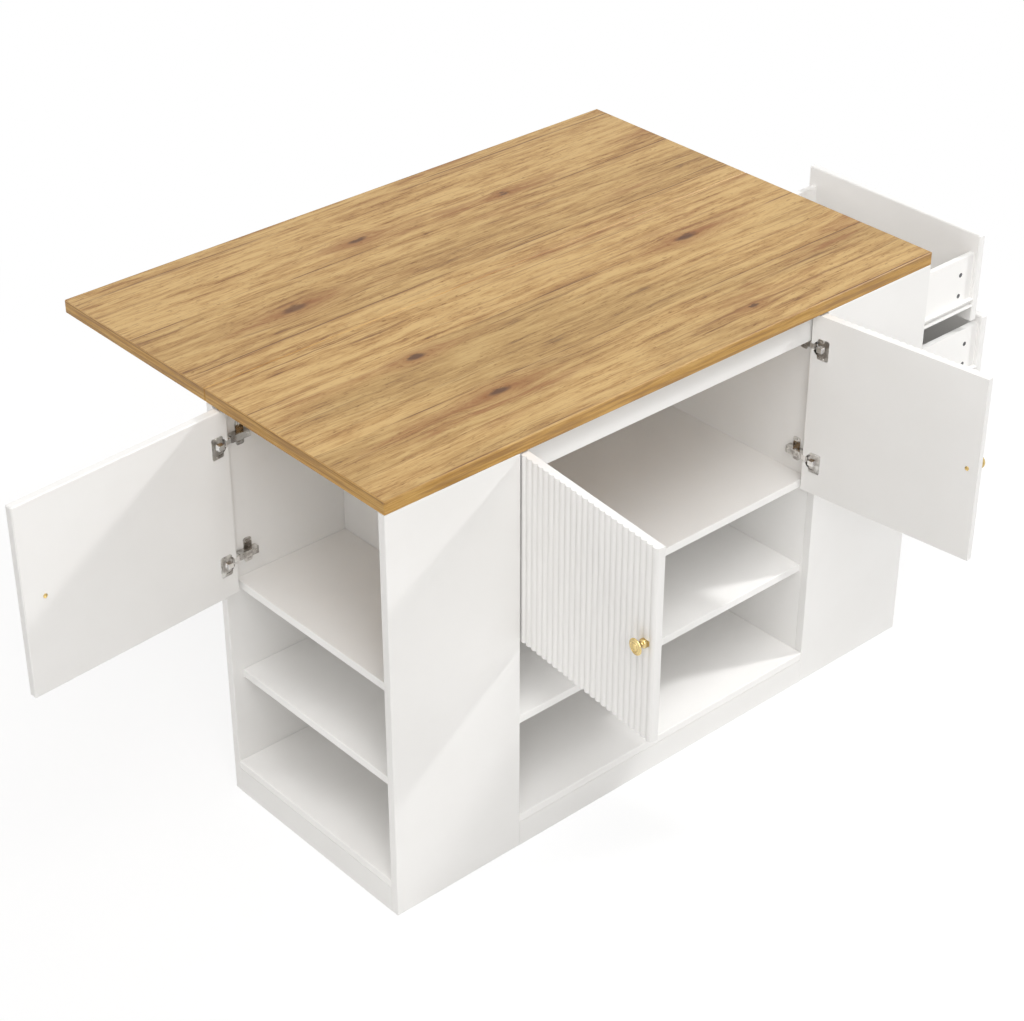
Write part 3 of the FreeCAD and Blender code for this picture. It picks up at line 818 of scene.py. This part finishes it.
def buildCupDetail(door):
    along, inward = doorWays(door)
    screws, covers, links, rimShades = [], [], [], []
    for cup in halves(turnDoor(nodePoints(door + "_cups"), door, closing=True)):
        level = inward * (cup @ inward).max() + upBy(middleOf(cup[:, 2]))
        centre = along * middleOf(cup @ along) + level
        for side in (-1, 1):
            at = centre + along * hinge["flangeScrewShift"] + upBy(side * hinge["flangeScrewSpan"])
            screws.append(openDoor(screwAt(hinge["flangeScrew"], at, inward), door))
        flangeStart = along * ((cup @ along).max() - hinge["flangeWidth"]) + level
        covers.append(openDoor(hingeBlock("cover", along, inward, flangeStart)[0], door))
        link, tone = hingeBlock("outerLink", along, inward, flangeStart)
        links.append(openDoor(link, door))
        rimShades.append(tone)
    addPiece(door + "_cup_screws", screws, door, "brightNickel")
    addPiece(door + "_cup_covers", covers, door, "brightNickel")
    addPiece(door + "_outer_links", links, door, "linkSteel", tone=np.concatenate(rimShades))


def buildArmDetail(door):
    along, inward = doorWays(door)
    pivot = np.array(joints[doors[door]["joint"]]["pos_m"])
    pivot = along * (pivot @ along) + inward * (pivot @ inward)
    screws, links, rimShades = [], [], []
    for arm in halves(nodePoints(door + "_hinge_arms")):
        depth = arm @ inward
        front = depth.min()
        face = (arm[depth > front + hinge["armFaceDepth"]] @ along).max()
        wall = (arm @ along).min()
        level = upBy(middleOf(arm[:, 2]))
        for step in hinge["armScrews"]:
            at = along * face + inward * (front + step) + level
            screws.append(screwAt(hinge["armScrew"], at, along))
        for side in (-1, 1):
            at = along * (wall + hinge["plateThickness"]) + inward * (front + hinge["plateScrewAt"]) + level
            at = at + upBy(side * hinge["plateScrewSpan"])
            screws.append(screwAt(hinge["plateScrew"], at, along))
        link, tone = hingeBlock("neckLink", along, inward, pivot + level)
        links.append(link)
        rimShades.append(tone)
    addPiece(door + "_arm_screws", screws, "cabinet", "brightNickel")
    addPiece(door + "_neck_links", links, "cabinet", "linkSteel", tone=np.concatenate(rimShades))


for door in doors:
    buildCupDetail(door)
    buildArmDetail(door)
print("hinge details on", len(doors), "doors")


# Screws of the folding brackets and flap hinges, and the slotted faces of the drawer cams

fixings = {
    "bracketScrew": (0.0045, 0.0016),
    "bracketInset": (0.008, 0.012),
    "bracketPlate": 0.0035,           # the wall plate lies within this of the wall
    "armScrew": (0.0045, 0.0016),
    "armScrewShares": (0.06, 0.36, 0.66, 0.94),
    "armScrewShare": 0.62,
    "armWall": 0.01,                  # the arm's flange lies further out than this
    "flapScrew": (0.0038, 0.0012),
    "flapScrewShares": (0.2, 0.8),
    "flapReachShare": 0.42,
    "flapPlate": 0.0021,              # the flap's plate lies within this of its top
    "flapGap": 0.1,                   # flaps are further apart than this
    "camFace": (0.0046, 0.0004),
}


def sides(points):
    return points[points[:, 0] < 0], points[points[:, 0] > 0]


def buildBracketScrews():
    screws = []
    insetX, insetZ = fixings["bracketInset"]
    for bracket in sides(nodePoints("strut_wall_brackets")):
        wall = bracket[:, 1].min()
        plate = bracket[bracket[:, 1] < wall + fixings["bracketPlate"]]
        low, high = plate.min(0), plate.max(0)
        for x in (low[0] + insetX, high[0] - insetX):
            for z in (low[2] + insetZ, high[2] - insetZ):
                screws.append(screwAt(fixings["bracketScrew"], (x, high[1], z), (0, 1, 0)))
    addPiece("wall_bracket_screws", screws, "cabinet", "zincPlate")


def buildLeafArmScrews():
    screws = []
    for way, arm in zip((-1, 1), sides(nodePoints("leaf_bracket_arms"))):
        low, high = arm.min(0), arm.max(0)
        inner = low[0] if way > 0 else high[0]
        x = inner + way * fixings["armScrewShare"] * (high[0] - low[0])
        flange = arm[abs(arm[:, 0] - inner) > fixings["armWall"]]
        for share in fixings["armScrewShares"]:
            at = (x, low[1] + share * (high[1] - low[1]), flange[:, 2].min())
            screws.append(screwAt(fixings["armScrew"], at, (0, 0, -1)))
    addPiece("leaf_arm_screws", screws, "leaf", "zincPlate")


def buildFlapScrews(node, body, way):
    points = nodePoints(node)
    flat = points[points[:, 2] > points[:, 2].max() - fixings["flapPlate"]]
    places = np.sort(flat[:, 0])
    spans = np.split(places, np.flatnonzero(np.diff(places) > fixings["flapGap"]) + 1)
    low, high = flat.min(0), flat.max(0)
    far = high[1] if way > 0 else low[1]
    y = far - way * fixings["flapReachShare"] * (high[1] - low[1])
    screws = []
    for span in spans:
        for share in fixings["flapScrewShares"]:
            at = (span[0] + share * (span[-1] - span[0]), y, low[2])
            screws.append(screwAt(fixings["flapScrew"], at, (0, 0, -1)))
    addPiece(node + "_screws", screws, body, "zincPlate")


def buildCamFaces(drawer):
    faces = []
    points = nodePoints(drawer + "_cams")
    reach = abs(points[:, 1]).max()
    for way in (-1, 1):
        outer = points[abs(points[:, 1] - way * reach) < sameSpot]
        for half in halves(outer):
            at = (middleOf(half[:, 0]), way * reach, middleOf(half[:, 2]))
            faces.append(screwAt(fixings["camFace"], at, (0, way, 0)))
    addPiece(drawer + "_cam_faces", faces, drawer, "darkCam")


buildBracketScrews()
buildLeafArmScrews()
buildFlapScrews("leaf_hinge_fixed_flaps", "cabinet", -1)
buildFlapScrews("leaf_hinge_moving_flaps", "leaf", 1)
for drawer in drawers:
    buildCamFaces(drawer)
print("fixings: brackets, flaps, cams")


# Floor, world and lamps

studio = {
    "floorHalf": 14.0,
    "floorColour": (0.78, 0.78, 0.775, 1),
    "shownShare": 0.80,     # how much of the floor's white is its own, the rest takes the shadow
    "shadowFades": (1.1, 2.6),
    "ambient": 0.29,
    "warm": (1.0, 0.982, 0.964, 1),
    "white": (1, 1, 1, 1),
    "lamps": [
        dict(name="keyLamp", at=(4.5, -1.9, 4.1), aim=(0.0, 0.0, 0.45), size=0.45, power=160.0, warm=False),
        dict(name="fillLamp", at=(-3.4, -4.6, 3.9), aim=(0.0, 0.0, 0.4), size=3.0, power=118.0, warm=True),
        dict(name="highLamp", at=(-1.2, -2.2, 6.0), aim=(0.0, 0.0, 0.4), size=4.0, power=186.0, warm=False),
        dict(name="leftLamp", at=(-6.0, 0.2, 2.4), aim=(0.0, 0.0, 0.4), size=3.0, power=20.0, warm=True),
        dict(name="backLamp", at=(-1.6, 5.4, 2.1), aim=(0.0, 0.2, 0.5), size=3.6, power=135.0, warm=True),
    ],
}


def addAimed(name, data, at, aim):
    # a lamp or camera that looks from at towards aim
    holder = bpy.data.objects.new(name, data)
    holder.location = at
    holder.rotation_euler = (Vector(aim) - Vector(at)).to_track_quat("-Z", "Y").to_euler()
    scene.collection.objects.link(holder)
    return holder


def isSeen(tree):
    rays = tree.nodes.new("ShaderNodeLightPath").outputs
    seen = calc(tree, "MAXIMUM", rays["Is Camera Ray"], rays["Is Glossy Ray"])
    return calc(tree, "MAXIMUM", seen, rays["Is Transmission Ray"])


def buildFloor():
    half = studio["floorHalf"]
    mesh = bpy.data.meshes.new("floor")
    corners = [(-half, -half, 0), (half, -half, 0), (half, half, 0), (-half, half, 0)]
    mesh.from_pydata(corners, [], [(0, 1, 2, 3)])
    floor = bpy.data.objects.new("floor", mesh)
    scene.collection.objects.link(floor)
    material, tree, shader, coords = newMaterial("paleFloor")
    tree.nodes.remove(shader)
    # light that bounces meets a plain floor, and what is seen is white with a shadow near the cabinet
    plain = place(tree, "ShaderNodeBsdfDiffuse", {"Color": studio["floorColour"]}).outputs[0]
    apart = place(tree, "ShaderNodeVectorMath", {0: coords["Object"]}, operation="LENGTH").outputs["Value"]
    rest = fadeOut(tree, apart, *studio["shadowFades"], 1.0 - studio["shownShare"])
    taking = place(tree, "ShaderNodeBsdfDiffuse", {"Color": rest}).outputs[0]
    own = calc(tree, "SUBTRACT", 1.0, rest)
    glow = place(tree, "ShaderNodeEmission", {"Color": studio["white"], "Strength": own}).outputs[0]
    shown = place(tree, "ShaderNodeAddShader", {0: taking, 1: glow}).outputs[0]
    mixed = place(tree, "ShaderNodeMixShader", {0: isSeen(tree), 1: plain, 2: shown}).outputs[0]
    setInputs(tree, tree.nodes["Material Output"], {"Surface": mixed})
    mesh.materials.append(material)


def buildWorld():
    world = bpy.data.worlds.new("studio")
    world.use_nodes = True
    scene.world = world
    tree = world.node_tree
    seen = isSeen(tree)
    strength = mixValue(tree, seen, studio["ambient"], 1.0)
    colour = mixColour(tree, seen, studio["warm"], studio["white"])
    setInputs(tree, tree.nodes["Background"], {"Strength": strength, "Color": colour})


def buildLamps():
    for lamp in studio["lamps"]:
        light = bpy.data.lights.new(lamp["name"], "AREA")
        light.size = lamp["size"]
        light.energy = lamp["power"]
        if lamp["warm"]:
            light.color = studio["warm"][:3]
        addAimed(lamp["name"], light, lamp["at"], lamp["aim"])


buildFloor()
buildWorld()
buildLamps()
print("studio: floor, world,", len(studio["lamps"]), "lamps")


# Camera above the front left corner, looking down without a tilt to either side

photoCamera = {
    "at": (-2.72491, -2.85142, 2.98526),
    "aim": (-0.48335, -0.32886, 0.8377),
    "lens": 82.73,
    "sensor": 36.0,
}


def buildCamera():
    camera = bpy.data.cameras.new("photoCamera")
    camera.sensor_width = photoCamera["sensor"]
    camera.lens = photoCamera["lens"]
    scene.camera = addAimed("photoCamera", camera, photoCamera["at"], photoCamera["aim"])


buildCamera()
scene.view_settings.view_transform = "Standard"
print("camera set")
